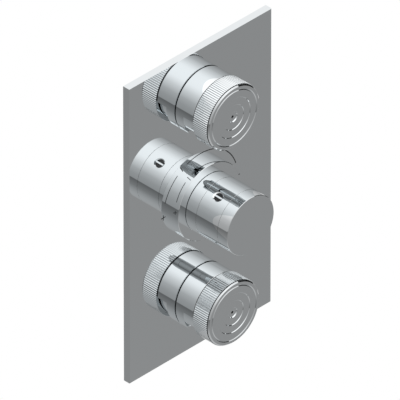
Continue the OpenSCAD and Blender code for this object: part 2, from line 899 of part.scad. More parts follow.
module handle_cap() {
    front = front_y(handle_reach);
    rear = front_y(cap_t);
    floor_y = front_y(spigot_end_t + fit);
    bore = spigot_r + fit;
    color(chrome) turned([
        [0, front], [handle_r - edge, front], [handle_r, front + edge],
        [handle_r, rear - seam_w], [handle_r - seam_w, rear], [bore, rear],
        [bore, floor_y], [cap_pocket_r, floor_y],
        [cap_pocket_r, floor_y - cap_pocket_w], [0, floor_y - cap_pocket_w]
    ]);
}

module handle_hub() {
    color(white_plastic) difference() {
        rod(spigot_bore_r - fit, front_y(hub_end_t), front_y(hub_t));
        splined(extension_spline_r + fit, front_y(extension_end_t + fit), front_y(hub_t) + over);
        rod(screw_r + fit, front_y(hub_end_t) - over, front_y(hub_t));
    }
}

module spindle_extension() {
    rear = neck_front_y - end_gap;
    color(brass) difference() {
        union() {
            rod(extension_r, front_y(extension_shoulder_t), rear);
            splined(extension_spline_r, front_y(extension_end_t), front_y(extension_shoulder_t) + over);
        }
        splined(spline_r + fit, neck_front_y - spline_len - fit, rear + over);
        rod(screw_r + fit, front_y(extension_end_t) - over, front_y(hub_end_t - screw_reach - over));
    }
}

module screw(head_t, reach) {
    difference() {
        union() {
            rod(screw_r, front_y(head_t), front_y(head_t - reach));
            rod(screw_head_r, front_y(head_t + screw_head_w), front_y(head_t));
        }
        hex_rod(socket_r, front_y(head_t + screw_head_w) - over,
            front_y(head_t + screw_head_w - socket_depth));
    }
}

module handle_screw() color(bright_steel) screw(hub_end_t, screw_reach);

module stop_button() {
    color(chrome) at_button() union() {
        post(collar_r, collar_bottom_r, collar_top_r);
        post(stem_r, collar_bottom_r, button_plate_r);
        post(button_r, button_base_r, button_plate_r);
        intersection() {
            post(button_r, button_base_r, button_top_r);
            translate([-button_rib_w / 2, -button_r, button_base_r])
                cube([button_rib_w, 2 * button_r, button_top_r - button_base_r]);
        }
    }
}

module button_spring() {
    color(bright_steel) at_button()
        coil(button_coil_r, button_wire_r, pocket_r + fit, button_base_r - 2 * fit, button_turns);
}

// Quarter-turn headworks
module headwork() {
    nose_y = front_y(headwork_nose_t);
    hex_y = body_front_y - headwork_hex_w;
    stop_y = nose_y + stop_lug_len + end_gap;
    color(brass) difference() {
        union() {
            rod(headwork_nose_r, nose_y, body_front_y);
            hex_rod(headwork_hex_r, hex_y, body_front_y);
            rod(headwork_r - fit, body_front_y - fit, seat_y - end_gap);
        }
        rod(shank_r + run, nose_y - over, headwork_wall_y + over);
        rod(headwork_bore_r, headwork_wall_y, seat_y + over);
        sector(shank_r - over, headwork_nose_r + over, nose_y - over, stop_y,
            -knob_turn - stop_lug_angle / 2 - over, stop_lug_angle / 2 + over);
        for (i = [0 : outlet_port_count - 1]) rotate([0, i * 360 / outlet_port_count, 0])
            sector(headwork_bore_r - over, headwork_r + over, outlet_port_y,
                outlet_port_y + outlet_port_w, -outlet_port_angle / 2, outlet_port_angle / 2);
    }
}

module headworks() for (side = [lower, upper]) at_control(side) headwork();

module ported_disc(y0, first_angle) {
    difference() {
        rod(disc_r, y0, y0 + disc_w - disc_film);
        for (i = [0, 1])
            sector(disc_core_r, disc_port_r, y0 - over, y0 + disc_w + over,
                first_angle + 2 * i * quarter, first_angle + 2 * i * quarter + disc_port_angle);
    }
}

module fixed_discs() {
    color(ceramic) for (side = [lower, upper]) at_control(side)
        ported_disc(disc_y + disc_w, disc_port_margin);
}

module drive_legs(play, y0, y1) {
    for (i = [0, 1]) rotate([0, quarter / 2 + 2 * i * quarter, 0])
        translate([-leg_w / 2 - play, y0, leg_root_r - play])
            cube([leg_w + 2 * play, y1 - y0, leg_r - leg_root_r + 2 * play]);
}

module moving_disc(side) {
    color(ceramic) at_control(side) difference() {
        ported_disc(disc_y, disc_port_margin + quarter);
        drive_legs(fit, disc_y - over, disc_y + leg_bite + fit);
    }
}

module seat_seals() {
    color(rubber) for (side = [lower, upper]) at_control(side)
        ring(seat_bore_r, headwork_bore_r - fit, disc_y + 2 * disc_w, seat_y);
}

module volume_spindle(side) {
    collar_y = headwork_wall_y + end_gap;
    color(brass) at_control(side) difference() {
        union() {
            splined(spline_r, front_y(adapter_end_t - fit), front_y(knob_spline_t) + over);
            rod(shank_r, front_y(knob_spline_t), collar_y + over);
            rod(drive_collar_r, collar_y, collar_y + drive_collar_w);
            drive_legs(0, collar_y + over, disc_y + leg_bite);
        }
        rod(screw_r + fit, front_y(adapter_end_t + over), front_y(knob_screw_t - knob_screw_reach - over));
    }
}

module stop_collar(side) {
    rear = front_y(knob_spline_t);
    color(bright_steel) at_control(side) difference() {
        union() {
            rod(stop_lug_r, front_y(stop_collar_end_t), rear);
            sector(stop_lug_root_r, stop_lug_r, rear - fit, rear + stop_lug_len,
                -stop_lug_angle / 2, stop_lug_angle / 2);
        }
        splined(spline_r + fit, front_y(stop_collar_end_t) - over, rear + over);
    }
}

// Escutcheon sleeves that carry the plate at the volume controls
module knob_sleeves() {
    color(brass) for (side = [lower, upper]) at_control(side) difference() {
        ring(sleeve_bore_r, sleeve_r, front_y(sleeve_front_t), body_front_y);
        seal_groove(sleeve_r, small_seal_w, -plate_t / 2);
    }
}

module sleeve_seals() {
    color(rubber) for (side = [lower, upper]) at_control(side)
        seal(sleeve_r - small_seal_w, small_seal_w, -plate_t / 2);
}

// Volume knob
module knob_barrel(side) {
    inner = knob_r - knob_wall;
    rear = front_y(knob_gap_t);
    joint = front_y(barrel_len);
    seat = front_y(cap_seat_t);
    bevel = edge / 2;
    adapter_bore = adapter_r + fit;
    color(chrome) at_control(side) difference() {
        turned([
            [inner, rear], [knob_r - edge, rear], [knob_r, rear - edge],
            [knob_r, joint + bevel], [knob_r - bevel, joint], [knob_spigot_r - fit, joint],
            [knob_spigot_r - fit, seat], [knob_spigot_r - rim_wall, seat],
            [knob_spigot_r - rim_wall, front_y(knob_pocket_t)], [hub_r + over, front_y(knob_pocket_t)],
            [hub_r + over, seat], [screw_head_r + rim_wall, seat],
            [screw_head_r + rim_wall, front_y(knob_screw_t)], [screw_r + end_gap, front_y(knob_screw_t)],
            [screw_r + end_gap, front_y(adapter_end_t)], [adapter_bore, front_y(adapter_end_t)],
            [adapter_bore, front_y(adapter_t)], [hub_r, front_y(adapter_t)],
            [hub_r, front_y(knob_web_t)], [inner, front_y(knob_web_t)]
        ]);
        sector(knob_r - relief_depth, knob_r + over, front_y(relief_end_t), front_y(relief_t),
            2 * quarter - relief_half_angle, 2 * quarter + relief_half_angle);
    }
}

// Outline of the reeds: each has a crown, two shoulders and a root
function reed_points(r) = [
    for (i = [0 : reed_count - 1])
        let (
            step = 360 / reed_count,
            a = i * step,
            crown = step * reed_top_share / 2,
            shoulder = step * reed_side_share / 2,
            root = r - reed_h,
            middle = root + reed_h * reed_side_height_share
        )
        each [
            [root * cos(a - step / 2), root * sin(a - step / 2)],
            [middle * cos(a - shoulder), middle * sin(a - shoulder)],
            [r * cos(a - crown), r * sin(a - crown)],
            [r * cos(a + crown), r * sin(a + crown)],
            [middle * cos(a + shoulder), middle * sin(a + shoulder)]
        ]
];

module grip_ring(side) {
    rear = front_y(barrel_len + joint_w);
    front = front_y(grip_end_t);
    color(chrome) at_control(side) difference() {
        intersection() {
            translate([0, front, 0]) rotate([-quarter, 0, 0])
                linear_extrude(height = rear - front) polygon(reed_points(grip_r));
            turned([
                [0, rear], [grip_r - edge, rear], [grip_r + over, rear - edge - over],
                [grip_r + over, front + edge + over], [grip_r - edge, front], [0, front]
            ]);
        }
        rod(knob_spigot_r, front - over, rear + over);
    }
}

// Cap: its plug sits on the barrel's spigot, its bevelled flange covers the grip ring's front end
module knob_cap(side) {
    seat = front_y(cap_seat_t);
    flange = front_y(cap_flange_t);
    face = front_y(knob_reach);
    plug_r = knob_spigot_r - fit;
    groove_r = groove_r_share * knob_cap_r;
    ring_r = [for (share = ring_r_shares) share * knob_cap_r];
    steps = [
        for (i = [0 : len(ring_r) - 1])
            each [
                [ring_r[i] + ring_slope / 2, face + ring_floors[i]],
                [ring_r[i] - ring_slope / 2, face + ring_floors[i + 1]]
            ]
    ];
    dimple = face + ring_floors[len(ring_r)];
    color(chrome) at_control(side) turned(concat(
        [
            [0, seat], [plug_r, seat], [plug_r, flange], [knob_cap_r, flange],
            [knob_cap_r, face + cap_bevel], [knob_cap_r - cap_bevel, face],
            [groove_r + groove_w / 2, face], [groove_r, face + groove_depth], [groove_r - groove_w / 2, face]
        ],
        steps,
        [[dimple_r, dimple], [dimple_r, dimple + dimple_depth], [0, dimple + dimple_depth]]
    ));
}

module adapter(side) {
    color(white_plastic) at_control(side) difference() {
        rod(adapter_r, front_y(adapter_end_t), front_y(adapter_t));
        splined(spline_r + fit, front_y(adapter_end_t) - over, front_y(adapter_t) + over);
    }
}

module knob_screw(side) color(bright_steel) at_control(side) screw(knob_screw_t, knob_screw_reach);

// Check valves and filters in the inlets, drawn along Z in the inlet's own place
module check_valve_cages() {
    color(white_plastic) for (side = [hot_side, cold_side]) at_inlet(side) {
        hub_z = cage_x + cage_hub_x;
        tube(cage_bore_r, valve_pocket_r - fit, cage_x, cage_end_x);
        tube(cage_seat_bore_r, cage_bore_r + fit, cage_end_x - cage_seat_w, cage_end_x);
        tube(poppet_stem_r + run, cage_hub_r, hub_z, hub_z + cage_hub_w);
        for (i = [0 : cage_arm_count - 1]) rotate([0, 0, i * 360 / cage_arm_count])
            translate([cage_hub_r - fit, -cage_arm_w / 2, hub_z])
                cube([cage_bore_r - cage_hub_r + 2 * fit, cage_arm_w, cage_hub_w]);
    }
}

module check_poppet(side) {
    seat_x = cage_end_x - cage_seat_w - fit;
    tail = cage_x + cage_hub_x - poppet_tail;
    color(white_plastic) at_inlet(side) union() {
        post(poppet_r, seat_x - poppet_w, seat_x);
        post(poppet_stem_r, tail, seat_x - poppet_w + fit);
    }
}

module check_spring(side) {
    color(bright_steel) at_inlet(side)
        coil(check_coil_r, check_wire_r, cage_x + cage_hub_x + cage_hub_w + fit,
            cage_end_x - cage_seat_w - poppet_w - 3 * fit, check_turns);
}

module inlet_filters() {
    color(bright_steel) for (side = [hot_side, cold_side]) at_inlet(side) difference() {
        union() {
            tube(valve_pocket_r - fit - filter_rim_wall, valve_pocket_r - fit,
                cage_end_x, cage_end_x + filter_rim_w);
            post(valve_pocket_r - fit - filter_rim_wall / 2, cage_end_x, cage_end_x + filter_sheet);
        }
        post(filter_hole_r, cage_end_x - over, cage_end_x + filter_sheet + over);
        for (k = [1 : filter_rings], i = [0 : 6 * k - 1]) rotate([0, 0, i * 60 / k])
            translate([k * filter_pitch, 0, 0])
                post(filter_hole_r, cage_end_x - over, cage_end_x + filter_sheet + over);
    }
}

// Steel bracket behind the body, with its countersunk screws
module bracket_outline() {
    w = bracket_w - 2 * bracket_corner_r;
    h = bracket_h - 2 * bracket_corner_r;
    translate([-bracket_w / 2, bracket_y, -h / 2]) cube([bracket_w, bracket_t, h]);
    translate([-w / 2, bracket_y, -bracket_h / 2]) cube([w, bracket_t, bracket_h]);
    for (i = [-1, 1], k = [-1, 1]) translate([i * w / 2, 0, k * h / 2])
        rod(bracket_corner_r, bracket_y, bracket_back_y);
}

module bracket_screw_places() {
    for (i = [0 : 3]) rotate([0, (i + 1 / 2) * quarter, 0]) translate([0, 0, tap_ring_r]) children();
}

module countersink(play, length_y) {
    rod(bracket_screw_r + play, bracket_back_y - length_y, bracket_back_y);
    translate([0, bracket_back_y - bracket_head_w, 0]) rotate([-quarter, 0, 0])
        cylinder(r1 = bracket_screw_r + play, r2 = bracket_head_r + play, h = bracket_head_w);
}

module mounting_bracket() {
    color(bright_steel) difference() {
        bracket_outline();
        bracket_screw_places() countersink(2 * fit, bracket_t + over);
        for (i = [-1, 1], k = [-1, 1]) translate([i * fixing_dx / 2, 0, k * fixing_dz / 2])
            rod(fixing_r, bracket_y - over, bracket_back_y + over);
    }
}

module bracket_screws() {
    color(bright_steel) bracket_screw_places() difference() {
        countersink(0, bracket_t + tap_depth - 2 * over);
        hex_rod(socket_r, bracket_back_y - socket_depth, bracket_back_y + over);
    }
}

cover_plate();
plate_gasket();
dial_ring();
valve_body();
thermostat_nut();
cartridge_head();
cartridge_shell();
hot_seat();
cartridge_seals();
stop_carrier();
stop_ring();
headworks();
fixed_discs();
seat_seals();
knob_sleeves();
sleeve_seals();
check_valve_cages();
inlet_filters();
gallery_plug();
mounting_bracket();
bracket_screws();
return_spring();
check_spring(hot_side);  // hot_check_spring
check_spring(cold_side);  // cold_check_spring
handle_base();
handle_sleeve();
handle_cap();
handle_hub();
handle_screw();
spindle_extension();
thermostat_spindle();
spindle_seal();
button_spring();
stop_button();
control_nut();
overload_spring();
plunger();
plunger_clip();
wax_element();
spool();
spool_seal();
knob_barrel(upper);  // upper_knob_barrel
grip_ring(upper);  // upper_grip_ring
knob_cap(upper);  // upper_knob_cap
adapter(upper);  // upper_adapter
knob_screw(upper);  // upper_knob_screw
volume_spindle(upper);  // upper_spindle
stop_collar(upper);  // upper_stop_collar
moving_disc(upper);  // upper_moving_disc
knob_barrel(lower);  // lower_knob_barrel
grip_ring(lower);  // lower_grip_ring
knob_cap(lower);  // lower_knob_cap
adapter(lower);  // lower_adapter
knob_screw(lower);  // lower_knob_screw
volume_spindle(lower);  // lower_spindle
stop_collar(lower);  // lower_stop_collar
moving_disc(lower);  // lower_moving_disc
check_poppet(hot_side);  // hot_check_poppet
check_poppet(cold_side);  // cold_check_poppet
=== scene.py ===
"""Looks of the concealed thermostatic shower valve: mirror chrome outside, brass and plastic inside."""

import json
import math

import bpy
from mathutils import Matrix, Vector


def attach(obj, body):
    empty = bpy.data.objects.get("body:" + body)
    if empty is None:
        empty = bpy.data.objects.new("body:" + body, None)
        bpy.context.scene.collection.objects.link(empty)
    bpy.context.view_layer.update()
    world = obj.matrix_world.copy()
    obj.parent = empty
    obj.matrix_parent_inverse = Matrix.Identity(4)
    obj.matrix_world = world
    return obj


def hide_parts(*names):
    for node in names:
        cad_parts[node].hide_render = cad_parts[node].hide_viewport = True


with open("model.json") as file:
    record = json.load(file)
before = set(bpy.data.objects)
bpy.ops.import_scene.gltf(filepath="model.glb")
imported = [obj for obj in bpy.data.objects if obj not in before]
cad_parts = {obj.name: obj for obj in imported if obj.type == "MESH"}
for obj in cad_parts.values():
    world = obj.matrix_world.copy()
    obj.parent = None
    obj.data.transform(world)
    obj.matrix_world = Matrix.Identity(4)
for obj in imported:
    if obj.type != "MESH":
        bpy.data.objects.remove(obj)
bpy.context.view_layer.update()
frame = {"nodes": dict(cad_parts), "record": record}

MM = 0.001
TINY = 1e-6
SEGMENTS = 288
FILLET_STEPS = 6

# Sizes in millimetres and angles in degrees; a length t is measured out from the plate's front face
PLATE_T = 6.0
CONTROL_PITCH = 86.5
CONTROLS = (("upper_knob", CONTROL_PITCH), ("lower_knob", -CONTROL_PITCH))

# Cap of a volume knob
CAP_R = 26.2
CAP_PLUG_R = 24.45
CAP_SEAT_T = 30.8
CAP_FLANGE_T = 33.3
CAP_FACE_T = 34.4
CAP_BEVEL = 0.9
CAP_FLANGE_FILLET = 0.05
CAP_RIM_FILLET = 0.08
CAP_FACE_FILLET = 0.12
GROOVE_SHARE = 0.8645
GROOVE_R = GROOVE_SHARE * CAP_R
GROOVE_W = 1.3
GROOVE_DEPTH = 0.55
GROOVE_FILLET = 0.2
STEP_SHARES = (0.626, 0.389, 0.156)
STEP_DROPS = (0.5, 0.5, 0.8)
STEP_SLOPES = (0.35, 0.35, 0.55)
STEP_FILLET = 0.1
DIMPLE_R = 1.1
DIMPLE_DEPTH = 1.2
DIMPLE_FILLET = 0.06

# Grip ring of a volume knob
GRIP_R = 26.7
GRIP_BORE_R = 24.5
GRIP_T = 18.9
GRIP_END_T = 32.8
GRIP_REAR_EDGE = 0.2
GRIP_FRONT_EDGE = 0.06
REED_COUNT = 100
REED_H = 0.38
REED_STEPS = 12
CREST_SHARE = 0.5
SHARP_ANGLE = 35

# Scale on the dial ring, with angles by the clock
SCALE_R = 38.0
LINE_W = 0.76
LINE_ROOM = 0.8
LINE_DEPTH = 0.39
PAINT_SINK = 0.02
SIGN_LEN = 4.56
SIGN_GAP = 18
INDEX_LEN = 5.86
INDEX_GAP = 8
HOT_ANGLE = -90
COLD_ANGLE = 90
ARC_STEPS = 48

# Stop button and the dark patches in its face
BUTTON_ANGLE = -30
BUTTON_T = 30.0
BUTTON_R = 3.4
BUTTON_PLATE_R = 22.6
RIB_W = 1.2
PATCH_GAP = 0.03
PATCH_W = 0.25
PATCH_STEPS = 32

# Painted shade: dark lines in the joints of the handle, and behind the grip rings as far as the relief
HANDLE_JOINTS = (("rear", 19.0), ("front", 41.0))
JOINT_HALF_W = 0.07
JOINT_TOP_R = 23.95
JOINT_FLOOR_R = 23.75
KNOB_JOINT_T = 18.6
KNOB_JOINT_HALF_W = 0.26
KNOB_JOINT_TOP_R = 26.0
KNOB_JOINT_FLOOR_R = 25.2
KNOB_JOINT_REACH = 87

# Depth of the finest relief of a surface, in metres
GRAIN_DEPTH = 0.0002

# Colour sockets of a mix node, which share their names with its other sockets
MIX_FIRST = 6
MIX_SECOND = 7
MIX_RESULT = 2

# Studio in metres; levels are shares of TOP_LEVEL, by the sine of the height above the horizon
TOP_LEVEL = 1.58
LEFT_LEVELS = [
    (-1.0, 0.36), (-0.82, 0.325), (-0.57, 0.185), (-0.27, 0.113), (-0.245, 0.268),
    (0.0, 0.302), (0.27, 0.388), (0.56, 0.622), (0.75, 0.87), (1.0, 0.96),
]
RIGHT_LEVELS = [
    (-1.0, 0.36), (-0.82, 0.325), (-0.57, 0.202), (-0.42, 0.204), (-0.20, 0.256),
    (0.0, 0.332), (0.24, 0.418), (0.54, 0.65), (0.75, 0.88), (1.0, 0.96),
]
ACROSS_EDGE = (-0.5, 0.5)
CARD_WAY = Vector((0.97, -0.1, 0.2))
CARD_EDGE = (0.87, 0.885)
CARD_LEVEL = 0.01
BEHIND_EDGE = (0.94, 0.98)
FLOOR_HALF = 8
FLOOR_Z = -0.6
FLOOR_LEVEL = 0.8
FLOOR_LIFT = 0.25
WALL_HALF = 0.55
WALL_Y = 0.0002
LAMP_SIZE = 1.2
LAMP_POWER = 12
LAMP_PLACE = (-1.0, -1.4, 1.6)

# Camera: the photograph's isometric view, from so far away that perspective hardly shows
VIEW = Vector((1, 1, -1)).normalized()
RIGHT = Vector((1, -1, 0)).normalized()
UP = RIGHT.cross(VIEW)
AIM_RIGHT = -0.36 * MM
AIM_UP = -2.53 * MM
AIM = Vector((0, -PLATE_T, 0)) * MM + RIGHT * AIM_RIGHT + UP * AIM_UP
FRAME_WIDTH = 289.2 * MM
LENS = 1600.0
SENSOR = 36.0
CLIP_RATIO = 10


# Materials

def node_material(name, **sockets):
    material = bpy.data.materials.new(name)
    material.use_nodes = True
    shader = material.node_tree.nodes["Principled BSDF"]
    for socket, value in sockets.items():
        shader.inputs[socket.replace("_", " ")].default_value = value
    return material, material.node_tree, shader


def noise(tree, scale, detail=2.0, stretch=(1, 1, 1)):
    coords = tree.nodes.new("ShaderNodeTexCoord")
    mapping = tree.nodes.new("ShaderNodeMapping")
    mapping.inputs["Scale"].default_value = stretch
    texture = tree.nodes.new("ShaderNodeTexNoise")
    texture.inputs["Scale"].default_value = scale
    texture.inputs["Detail"].default_value = detail
    tree.links.new(coords.outputs["Object"], mapping.inputs["Vector"])
    tree.links.new(mapping.outputs["Vector"], texture.inputs["Vector"])
    return texture.outputs["Fac"]


def spread(tree, value, low, high):
    mapper = tree.nodes.new("ShaderNodeMapRange")
    mapper.inputs["To Min"].default_value = low
    mapper.inputs["To Max"].default_value = high
    tree.links.new(value, mapper.inputs["Value"])
    return mapper.outputs["Result"]


def shades(tree, value, dark, light):
    ramp = tree.nodes.new("ShaderNodeValToRGB")
    ramp.color_ramp.elements[0].color = (*dark, 1)
    ramp.color_ramp.elements[1].color = (*light, 1)
    tree.links.new(value, ramp.inputs["Fac"])
    return ramp.outputs["Color"]


def bump(tree, shader, height, strength):
    node = tree.nodes.new("ShaderNodeBump")
    node.inputs["Strength"].default_value = strength
    node.inputs["Distance"].default_value = GRAIN_DEPTH
    tree.links.new(height, node.inputs["Height"])
    tree.links.new(node.outputs["Normal"], shader.inputs["Normal"])


def tone_and_gloss(tree, shader, pattern, dark, light, rough):
    """Colour and roughness that both vary with one pattern."""
    tree.links.new(shades(tree, pattern, dark, light), shader.inputs["Base Color"])
    tree.links.new(spread(tree, pattern, *rough), shader.inputs["Roughness"])


def worked_metal(name, dark, light, rough, scale, stretch, relief):
    """Cast, machined or brushed metal: tone, gloss and relief vary with the tool marks."""
    material, tree, shader = node_material(name, Metallic=1.0)
    marks = noise(tree, scale, detail=3.0, stretch=stretch)
    tone_and_gloss(tree, shader, marks, dark, light, rough)
    bump(tree, shader, marks, relief)
    return material


def moulded(name, dark, light, rough, scale, relief):
    """Plastic, rubber, foam or ceramic: a fine even grain."""
    material, tree, shader = node_material(name)
    grain = noise(tree, scale, detail=4.0)
    tone_and_gloss(tree, shader, grain, dark, light, rough)
    bump(tree, shader, grain, relief)
    return material


def polished_chrome():
    """A mirror with a trace of haze."""
    material, tree, shader = node_material("chrome", Metallic=1.0)
    haze = noise(tree, scale=60.0)
    tone_and_gloss(tree, shader, haze, dark=(0.748, 0.774, 0.787), light=(0.752, 0.778, 0.791),
                   rough=(0.004, 0.012))
    return material


def paint():
    """Near-black paint with a fine grain: the fill of the engraved scale, the stop button's dark patches,
    and painted shade in the joints and the cap's small hole.
    """
    material, tree, shader = node_material("paint")
    grain = noise(tree, scale=2500.0)
    tone_and_gloss(tree, shader, grain, dark=(0.006, 0.006, 0.007), light=(0.012, 0.012, 0.013),
                   rough=(0.35, 0.5))
    return material


MATERIALS = {
    "chrome": polished_chrome(),
    "brass": worked_metal("brass", dark=(0.62, 0.43, 0.19), light=(0.74, 0.55, 0.27), rough=(0.26, 0.42),
                          scale=900, stretch=(1, 1, 1), relief=0.25),
    "copper": worked_metal("copper", dark=(0.60, 0.29, 0.17), light=(0.72, 0.38, 0.24), rough=(0.24, 0.36),
                           scale=700, stretch=(1, 4, 1), relief=0.15),
    "steel": worked_metal("steel", dark=(0.50, 0.51, 0.53), light=(0.66, 0.67, 0.69), rough=(0.24, 0.38),
                          scale=500, stretch=(0.15, 3, 3), relief=0.15),
    "rubber": moulded("rubber", dark=(0.012, 0.012, 0.013), light=(0.022, 0.022, 0.024), rough=(0.50, 0.66),
                      scale=1500, relief=0.3),
    "foam": moulded("foam", dark=(0.045, 0.045, 0.048), light=(0.085, 0.085, 0.090), rough=(0.80, 0.95),
                    scale=1100, relief=0.8),
    "white_plastic": moulded("white_plastic", dark=(0.74, 0.74, 0.71), light=(0.80, 0.80, 0.77),
                             rough=(0.38, 0.48), scale=1300, relief=0.12),
    "grey_plastic": moulded("grey_plastic", dark=(0.24, 0.26, 0.29), light=(0.29, 0.31, 0.34),
                            rough=(0.40, 0.52), scale=1300, relief=0.15),
    "paint": paint(),
    "ceramic": moulded("ceramic", dark=(0.80, 0.78, 0.69), light=(0.86, 0.84, 0.76), rough=(0.10, 0.18),
                       scale=600, relief=0.04),
}

for part in frame["record"]["subparts"]:
    slots = frame["nodes"][part["node"]].data.materials
    slots.clear()
    slots.append(MATERIALS[part["material_slot"]])


# Turned pieces

def outline(corners):
    """Points of an outline, each with its normal before and after; outside is on the right.

    A corner is given as (r, t, fillet radius).
    """
    spots = [Vector(corner[:2]) for corner in corners]
    ways = [(b - a).normalized() for a, b in zip(spots, spots[1:])]
    found = []
    for i, (here, corner) in enumerate(zip(spots, corners)):
        before = ways[max(i - 1, 0)]
        after = ways[min(i, len(ways) - 1)]
        normal = Vector((before.y, -before.x))
        radius = corner[2]
        if not radius:
            found.append((here, normal, Vector((after.y, -after.x))))
            continue
        turn = math.atan2(before.x * after.y - before.y * after.x, before.dot(after))
        side = math.copysign(radius, turn)
        centre = here - before * radius * math.tan(abs(turn) / 2) - normal * side
        for k in range(FILLET_STEPS + 1):
            angle = turn * k / FILLET_STEPS
            turned = Vector((normal.x * math.cos(angle) - normal.y * math.sin(angle),
                             normal.x * math.sin(angle) + normal.y * math.cos(angle)))
            found.append((centre + turned * side, turned, turned))
    return found


def place(r, t, angle, centre_z):
    """A point in metres, at a radius and a clock angle in radians about the axis at height centre_z."""
    return Vector((r * math.sin(angle), -(PLATE_T + t), centre_z + r * math.cos(angle))) * MM


def mesh_piece(name, verts, faces, normals=None):
    mesh = bpy.data.meshes.new(name)
    mesh.from_pydata(verts, [], faces)
    if normals:
        mesh.shade_smooth()
        mesh.normals_split_custom_set(normals)
    piece = bpy.data.objects.new(name, mesh)
    bpy.context.scene.collection.objects.link(piece)
    return piece


def lathe(name, corners, centre_z=0.0):
    """A turned piece about the axis at height centre_z, shaded by the outline's own normals."""
    points = outline(corners)
    angles = [2 * math.pi * j / SEGMENTS for j in range(SEGMENTS)]
    verts, rings = [], []
    for point, _, _ in points:
        on_axis = point.x < TINY
        turns = angles[:1] if on_axis else angles
        rings.append([len(verts)] * SEGMENTS if on_axis else range(len(verts), len(verts) + SEGMENTS))
        verts += [place(point.x, point.y, angle, centre_z) for angle in turns]
    faces, normals = [], []
    for i in range(len(points) - 1):
        start, end = points[i][2], points[i + 1][1]
        if (points[i + 1][0] - points[i][0]).length < TINY:
            continue
        for j in range(SEGMENTS):
            k = (j + 1) % SEGMENTS
            loop = [(rings[i][j], start, j), (rings[i + 1][j], end, j),
                    (rings[i + 1][k], end, k), (rings[i][k], start, k)]
            kept = [spot for n, spot in enumerate(loop) if spot[0] not in [other[0] for other in loop[:n]]]
            faces.append([spot[0] for spot in kept])
            normals += [(n.x * math.sin(angles[q]), -n.y, n.x * math.cos(angles[q])) for _, n, q in kept]
    return mesh_piece(name, verts, faces, normals)


# Volume knobs: the cap is a disc with a bevelled edge, a groove and three steps down to a small hole

def dress(piece, body, node, *materials):
    """Give a knob's piece its materials and its body, and hide the CAD node that it stands for."""
    for material in materials:
        piece.data.materials.append(material)
    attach(piece, body)
    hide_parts(node)


def knob_cap(body, centre_z):
    """The cap, with the wall and floor of its small hole in dark paint, as painted shade in the hole."""
    corners = [
        (0, CAP_SEAT_T, 0),
        (CAP_PLUG_R, CAP_SEAT_T, 0),
        (CAP_PLUG_R, CAP_FLANGE_T, 0),
        (CAP_R, CAP_FLANGE_T, CAP_FLANGE_FILLET),
        (CAP_R, CAP_FACE_T - CAP_BEVEL, CAP_RIM_FILLET),
        (CAP_R - CAP_BEVEL, CAP_FACE_T, CAP_FACE_FILLET),
        (GROOVE_R + GROOVE_W / 2, CAP_FACE_T, CAP_FACE_FILLET),
        (GROOVE_R, CAP_FACE_T - GROOVE_DEPTH, GROOVE_FILLET),
        (GROOVE_R - GROOVE_W / 2, CAP_FACE_T, CAP_FACE_FILLET),
    ]
    t = CAP_FACE_T
    for share, drop, slope in zip(STEP_SHARES, STEP_DROPS, STEP_SLOPES):
        r = share * CAP_R
        corners += [(r + slope / 2, t, STEP_FILLET), (r - slope / 2, t - drop, STEP_FILLET)]
        t -= drop
    corners += [(DIMPLE_R, t, DIMPLE_FILLET), (DIMPLE_R, t - DIMPLE_DEPTH, 0), (0, t - DIMPLE_DEPTH, 0)]
    piece = lathe(body + "_cap_disc", corners, centre_z)
    dress(piece, body, body + "_cap", MATERIALS["chrome"], MATERIALS["paint"])
    # Painted shade: the faces inside the small hole take the dark paint
    for face in piece.data.polygons:
        r = math.hypot(face.center.x, face.center.z - centre_z * MM)
        if r < (DIMPLE_R + TINY) * MM and -face.center.y < (PLATE_T + t) * MM:
            face.material_index = 1


def grip_ring(body, centre_z):
    """The reeded ring: smooth crests between V grooves, closed by bevels, ends and bore."""
    count = REED_COUNT * REED_STEPS
    from_crest = [abs(2 * k / REED_STEPS - 1) for k in range(REED_STEPS)]
    depths = [max(0, share - CREST_SHARE) / (1 - CREST_SHARE) for share in from_crest]
    wave = [GRIP_R - REED_H * depth for depth in depths] * REED_COUNT
    rows = [
        (GRIP_T, GRIP_R - GRIP_REAR_EDGE),
        (GRIP_T + GRIP_REAR_EDGE, GRIP_R),
        (GRIP_END_T - GRIP_FRONT_EDGE, GRIP_R),
        (GRIP_END_T, GRIP_R - GRIP_FRONT_EDGE),
        (GRIP_END_T, GRIP_BORE_R),
        (GRIP_T, GRIP_BORE_R),
    ]
    verts = [place(min(r, limit), t, 2 * math.pi * k / count, centre_z)
             for t, limit in rows for k, r in enumerate(wave)]
    faces = []
    for i in range(len(rows)):
        a, b = count * i, count * ((i + 1) % len(rows))
        faces += [(a + k, b + k, b + (k + 1) % count, a + (k + 1) % count) for k in range(count)]
    piece = mesh_piece(body + "_reeds", verts, faces)
    piece.data.shade_smooth()
    piece.data.set_sharp_from_angle(angle=math.radians(SHARP_ANGLE))
    dress(piece, body, body.replace("_knob", "_grip_ring"), MATERIALS["chrome"])


# Paint in the engraved scale

def strips(name, bands, y_front, y_back):
    """Closed flat strips between pairs of lines of (x, z), as one piece."""
    verts, faces = [], []
    corners = 4
    for left, right in bands:
        first = len(verts)
        for (x0, z0), (x1, z1) in zip(left, right):
            verts += [Vector((x, y, z)) * MM for x, z in ((x0, z0), (x1, z1)) for y in (y_front, y_back)]
        last = first + corners * (len(left) - 1)
        for a in range(first, last, corners):
            b = a + corners
            faces += [(a, a + 2, b + 2, b), (a + 1, b + 1, b + 3, a + 3)]
            faces += [(a, b, b + 1, a + 1), (a + 2, a + 3, b + 3, b + 2)]
        faces += [(first, first + 1, first + 3, first + 2), (last, last + 2, last + 3, last + 1)]
    return mesh_piece(name, verts, faces)


def on_dial(r, angle, across=0.0):
    """A point at a radius and clock angle, shifted across the radius."""
    a = math.radians(angle)
    return (r * math.sin(a) + across * math.cos(a), r * math.cos(a) - across * math.sin(a))


